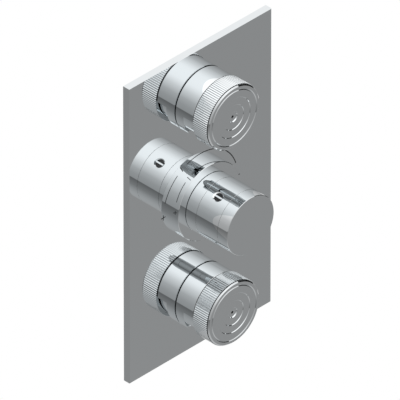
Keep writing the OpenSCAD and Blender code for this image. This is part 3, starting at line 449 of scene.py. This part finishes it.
def bar(angle, length, middle=SCALE_R):
    """A radial bar of the scale."""
    ends = (middle - length / 2, middle + length / 2)
    left = [on_dial(r, angle, -LINE_W / 2) for r in ends]
    right = [on_dial(r, angle, LINE_W / 2) for r in ends]
    return left, right


def arm(angle, side):
    """One arm of the plus sign, between its radial bar and its end."""
    ends = (SCALE_R - LINE_W / 2, SCALE_R + LINE_W / 2)
    low, high = sorted((side * LINE_W / 2, side * SIGN_LEN / 2))
    left = [on_dial(r, angle, low) for r in ends]
    right = [on_dial(r, angle, high) for r in ends]
    return left, right


def arc(start, end):
    """A stretch of the scale's circle between two clock angles."""
    turns = [start + (end - start) * k / ARC_STEPS for k in range(ARC_STEPS + 1)]
    inner = [on_dial(SCALE_R - LINE_W / 2, turn) for turn in turns]
    outer = [on_dial(SCALE_R + LINE_W / 2, turn) for turn in turns]
    return inner, outer


def scale_paint():
    """Two arcs with the index between them, the minus sign and the plus sign."""
    bands = [
        arc(HOT_ANGLE + SIGN_GAP, BUTTON_ANGLE - INDEX_GAP),
        arc(BUTTON_ANGLE + INDEX_GAP, COLD_ANGLE - SIGN_GAP),
        bar(BUTTON_ANGLE, INDEX_LEN, SCALE_R + LINE_ROOM),
        bar(COLD_ANGLE, SIGN_LEN),
        bar(HOT_ANGLE, SIGN_LEN),
        arm(HOT_ANGLE, 1),
        arm(HOT_ANGLE, -1),
    ]
    piece = strips("scale_paint", bands, PAINT_SINK - PLATE_T, LINE_DEPTH - PLATE_T)
    piece.data.materials.append(MATERIALS["paint"])
    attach(piece, "valve")


# Painted shade: dark lines in the joints, where the gaps lie in shade

def band_section(floor, top, t, half):
    """The four corners (r, t) of a flat band round an axis."""
    return [(floor, t - half), (top, t - half), (top, t + half), (floor, t + half)]


def handle_joint_shade(name, t):
    """A thin dark ring of painted shade in one joint of the handle."""
    section = band_section(JOINT_FLOOR_R, JOINT_TOP_R, t, JOINT_HALF_W)
    corners = [(r, along, 0) for r, along in section + section[:1]]
    piece = lathe(name + "_joint_painted_shade", corners)
    piece.data.materials.append(MATERIALS["paint"])
    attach(piece, "thermostat_handle")


def knob_joint_shade(body, centre_z):
    """A band of painted shade behind the grip ring, that ends at both sides of the relief in the barrel's
    underside.
    """
    section = band_section(KNOB_JOINT_FLOOR_R, KNOB_JOINT_TOP_R, KNOB_JOINT_T, KNOB_JOINT_HALF_W)
    sides = len(section)
    reach = math.radians(KNOB_JOINT_REACH)
    turns = [reach * (2 * k / SEGMENTS - 1) for k in range(SEGMENTS + 1)]
    verts = [place(r, along, turn, centre_z) for turn in turns for r, along in section]
    faces = [tuple(range(sides)), tuple(len(verts) - 1 - k for k in range(sides))]
    for a in range(0, len(verts) - sides, sides):
        b = a + sides
        faces += [(a + k, b + k, b + (k + 1) % sides, a + (k + 1) % sides) for k in range(sides)]
    piece = mesh_piece(body + "_joint_painted_shade", verts, faces)
    piece.data.materials.append(MATERIALS["paint"])
    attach(piece, body)


# Dark patches in the stop button's face, one at each side of its rib

def button_dark_patch():
    turn = math.radians(BUTTON_ANGLE)
    outward = Vector((math.sin(turn), 0, math.cos(turn)))
    across = Vector((math.cos(turn), 0, -math.sin(turn)))
    radius = BUTTON_R - PATCH_GAP
    half = math.acos((RIB_W / 2 + PATCH_GAP) / radius)
    verts, faces = [], []
    for side in (1, -1):
        turns = [side * half * (2 * k / PATCH_STEPS - 1) for k in range(PATCH_STEPS + 1)]
        floor, top = [], []
        for level, row in ((BUTTON_PLATE_R, floor), (BUTTON_PLATE_R + PATCH_W, top)):
            for a in turns:
                row.append(len(verts))
                along = Vector((0, -radius * math.sin(a), 0))
                spot = outward * level + across * (side * radius * math.cos(a)) + along
                verts.append((spot - Vector((0, PLATE_T + BUTTON_T, 0))) * MM)
        faces += [floor[::-1], top]
        faces += [(floor[k - 1], floor[k], top[k], top[k - 1]) for k in range(len(turns))]
    piece = mesh_piece("button_dark_patch", verts, faces)
    piece.data.materials.append(MATERIALS["paint"])
    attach(piece, "stop_button")


for body, centre_z in CONTROLS:
    knob_cap(body, centre_z)
    grip_ring(body, centre_z)
    knob_joint_shade(body, centre_z)
scale_paint()
button_dark_patch()
for name, t in HANDLE_JOINTS:
    handle_joint_shade(name, t)


# World that metal mirrors: greys by height, a black card at the right, and white behind the valve

def grey_by_height(tree, height, stops):
    node = tree.nodes.new("ShaderNodeValToRGB")
    line = node.color_ramp.elements
    for i, (sine, level) in enumerate(stops):
        at = (sine + 1) / 2
        stop = line[i] if i < len(line) else line.new(at)
        stop.position = at
        stop.color = (level, level, level, 1)
    tree.links.new(height, node.inputs["Fac"])
    return node.outputs["Color"]


def ramp_between(tree, value, low, high):
    """From 0 at low to 1 at high."""
    node = tree.nodes.new("ShaderNodeMapRange")
    node.inputs["From Min"].default_value = low
    node.inputs["From Max"].default_value = high
    tree.links.new(value, node.inputs["Value"])
    return node.outputs["Result"]


def toward(tree, way, direction, edge):
    """From 0 to 1 as the ray's way turns into a direction; edge holds the two cosines."""
    dot = tree.nodes.new("ShaderNodeVectorMath")
    dot.operation = "DOT_PRODUCT"
    dot.inputs[1].default_value = direction.normalized()
    tree.links.new(way, dot.inputs[0])
    return ramp_between(tree, dot.outputs["Value"], *edge)


def arithmetic(tree, operation, a, b):
    node = tree.nodes.new("ShaderNodeMath")
    node.operation = operation
    tree.links.new(a, node.inputs[0])
    tree.links.new(b, node.inputs[1])
    return node.outputs["Value"]


def colour_mix(tree, factor, first):
    """A mix that starts from the first colour; its second colour is left to the caller."""
    node = tree.nodes.new("ShaderNodeMix")
    node.data_type = "RGBA"
    tree.links.new(factor, node.inputs["Factor"])
    tree.links.new(first, node.inputs[MIX_FIRST])
    return node


def room_colour(tree, way):
    """The greys of the left and the right, blended across, with the black card before them."""
    axes = tree.nodes.new("ShaderNodeSeparateXYZ")
    tree.links.new(way, axes.inputs["Vector"])
    height = ramp_between(tree, axes.outputs["Z"], -1, 1)
    across = ramp_between(tree, axes.outputs["X"], *ACROSS_EDGE)
    walls = colour_mix(tree, across, grey_by_height(tree, height, LEFT_LEVELS))
    tree.links.new(grey_by_height(tree, height, RIGHT_LEVELS), walls.inputs[MIX_SECOND])
    card = colour_mix(tree, toward(tree, way, CARD_WAY, CARD_EDGE), walls.outputs[MIX_RESULT])
    card.inputs[MIX_SECOND].default_value = (CARD_LEVEL, CARD_LEVEL, CARD_LEVEL, 1)
    return card.outputs[MIX_RESULT]


def studio_world():
    world = bpy.data.worlds.new("studio")
    bpy.context.scene.world = world
    world.use_nodes = True
    tree = world.node_tree
    tree.nodes.clear()
    way = tree.nodes.new("ShaderNodeTexCoord").outputs["Generated"]
    room = tree.nodes.new("ShaderNodeBackground")
    room.inputs["Strength"].default_value = TOP_LEVEL
    tree.links.new(room_colour(tree, way), room.inputs["Color"])
    backdrop = tree.nodes.new("ShaderNodeBackground")
    backdrop.inputs["Color"].default_value = (1, 1, 1, 1)
    path = tree.nodes.new("ShaderNodeLightPath")
    mirrored = arithmetic(tree, "MAXIMUM",
                          path.outputs["Is Glossy Ray"], path.outputs["Is Transmission Ray"])
    behind = arithmetic(tree, "MULTIPLY", mirrored, toward(tree, way, VIEW, BEHIND_EDGE))
    white = arithmetic(tree, "MAXIMUM", path.outputs["Is Camera Ray"], behind)
    choose = tree.nodes.new("ShaderNodeMixShader")
    tree.links.new(white, choose.inputs["Fac"])
    tree.links.new(room.outputs["Background"], choose.inputs[1])
    tree.links.new(backdrop.outputs["Background"], choose.inputs[2])
    output = tree.nodes.new("ShaderNodeOutputWorld")
    tree.links.new(choose.outputs["Shader"], output.inputs["Surface"])


# Stage: a pale floor, a white wall, a soft lamp and the camera

def floor_sheet():
    """The floor that catches the shadow, lifted towards white for the camera."""
    half = FLOOR_HALF
    spots = [(x, y, FLOOR_Z) for x, y in ((-half, -half), (half, -half), (half, half), (-half, half))]
    floor = mesh_piece("floor", spots, [(0, 1, 2, 3)])
    material, tree, shader = node_material("floor", Roughness=0.9)
    shader.inputs["Base Color"].default_value = (FLOOR_LEVEL, FLOOR_LEVEL, FLOOR_LEVEL, 1)
    shader.inputs["Specular IOR Level"].default_value = 0.0
    shader.inputs["Emission Color"].default_value = (1, 1, 1, 1)
    ray = tree.nodes.new("ShaderNodeLightPath")
    lift = tree.nodes.new("ShaderNodeMath")
    lift.operation = "MULTIPLY"
    lift.inputs[1].default_value = FLOOR_LIFT
    tree.links.new(ray.outputs["Is Camera Ray"], lift.inputs[0])
    tree.links.new(lift.outputs["Value"], shader.inputs["Emission Strength"])
    floor.data.materials.append(material)
    floor.visible_glossy = False


def wall_sheet():
    """The white wall that the valve is built into, seen from its front only.

    From behind it is clear, so that the body stays in view.
    """
    half = WALL_HALF
    spots = [(x, WALL_Y, z) for x, z in ((-half, -half), (half, -half), (half, half), (-half, half))]
    wall = mesh_piece("wall", spots, [(0, 1, 2, 3)])
    material = bpy.data.materials.new("wall")
    material.use_nodes = True
    tree = material.node_tree
    tree.nodes.clear()
    side = tree.nodes.new("ShaderNodeNewGeometry")
    white = tree.nodes.new("ShaderNodeEmission")
    clear = tree.nodes.new("ShaderNodeBsdfTransparent")
    choose = tree.nodes.new("ShaderNodeMixShader")
    output = tree.nodes.new("ShaderNodeOutputMaterial")
    tree.links.new(side.outputs["Backfacing"], choose.inputs["Fac"])
    tree.links.new(white.outputs["Emission"], choose.inputs[1])
    tree.links.new(clear.outputs["BSDF"], choose.inputs[2])
    tree.links.new(choose.outputs["Shader"], output.inputs["Surface"])
    wall.data.materials.append(material)
    wall.visible_glossy = False
    wall.visible_diffuse = False
    wall.visible_transmission = False
    wall.visible_shadow = False


def soft_lamp():
    """One wide lamp, up and to the left in front of the valve, that the chrome doesn't mirror."""
    data = bpy.data.lights.new("soft_lamp", "AREA")
    data.shape = "DISK"
    data.size = LAMP_SIZE
    data.energy = LAMP_POWER
    lamp = bpy.data.objects.new("soft_lamp", data)
    lamp.location = LAMP_PLACE
    lamp.rotation_euler = (-lamp.location).to_track_quat("-Z", "Y").to_euler()
    lamp.visible_glossy = False
    bpy.context.scene.collection.objects.link(lamp)


def photo_camera():
    distance = LENS / SENSOR * FRAME_WIDTH
    data = bpy.data.cameras.new("camera")
    data.sensor_width = SENSOR
    data.lens = LENS
    data.clip_start = distance / CLIP_RATIO
    data.clip_end = distance * CLIP_RATIO
    camera = bpy.data.objects.new("camera", data)
    camera.location = AIM - VIEW * distance
    camera.rotation_euler = VIEW.to_track_quat("-Z", "Y").to_euler()
    bpy.context.scene.collection.objects.link(camera)
    bpy.context.scene.camera = camera


studio_world()
floor_sheet()
wall_sheet()
soft_lamp()
photo_camera()
bpy.context.scene.view_settings.view_transform = "Standard"
